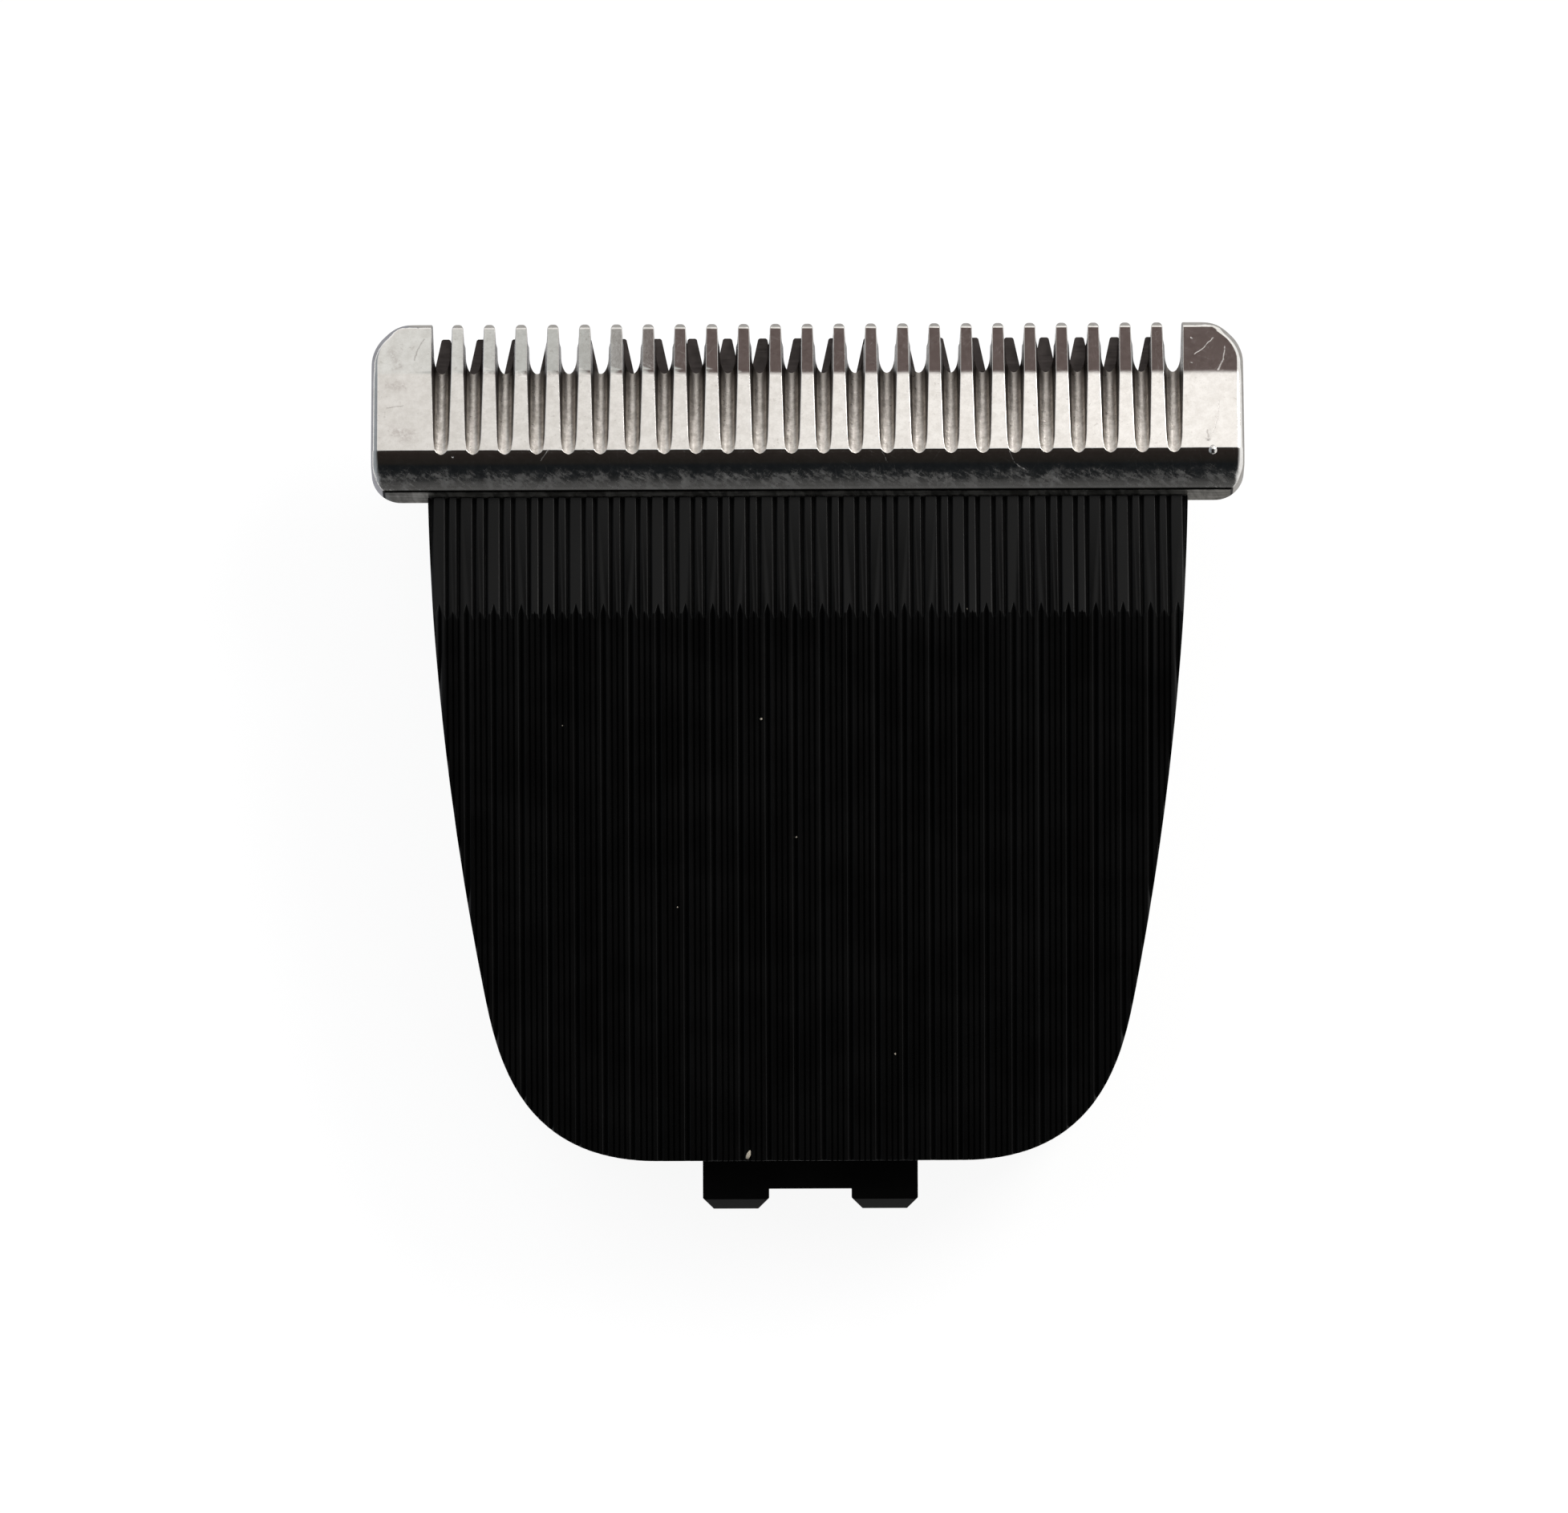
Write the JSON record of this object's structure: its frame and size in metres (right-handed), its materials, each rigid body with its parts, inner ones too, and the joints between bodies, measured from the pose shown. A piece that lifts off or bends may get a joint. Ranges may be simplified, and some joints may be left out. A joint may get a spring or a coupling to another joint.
{
  "type": "hair clipper blade",
  "caption": "Clip-on T-shaped clipper blade: polished steel comb with a sliding dark cutter behind it, on a ribbed black plastic carrier with a latch tab.",
  "frame": {"origin": "middle of the part in plan, on the plane of the housing's back rim", "axes": "+X across the tooth row, +Y from the latch tab towards the teeth, +Z out of the ribbed front"},
  "size_m": [0.04, 0.0408, 0.0101],
  "materials": {
    "black_plastic": "satin moulded black",
    "polished_steel": "polished, lightly scratched",
    "dark_steel": "dark ground steel",
    "pale_plastic": "natural acetal",
    "grey_plastic": "dark grey acetal",
    "spring_wire": "drawn wire",
    "screw_steel": "zinc plated"
  },
  "bodies": {
    "carrier": {"housing": "black_plastic", "comb": "polished_steel", "guide": "grey_plastic", "spring": "spring_wire", "blade_screws": "screw_steel"},
    "moving_blade": {"cutter": "dark_steel", "driver": "pale_plastic"}
  },
  "joints": [
    {"name": "cutter_slide", "type": "slide", "parent": "carrier", "child": "moving_blade", "axis": [1, 0, 0], "range_m": [-0.00082, 0.00168]}
  ]
}
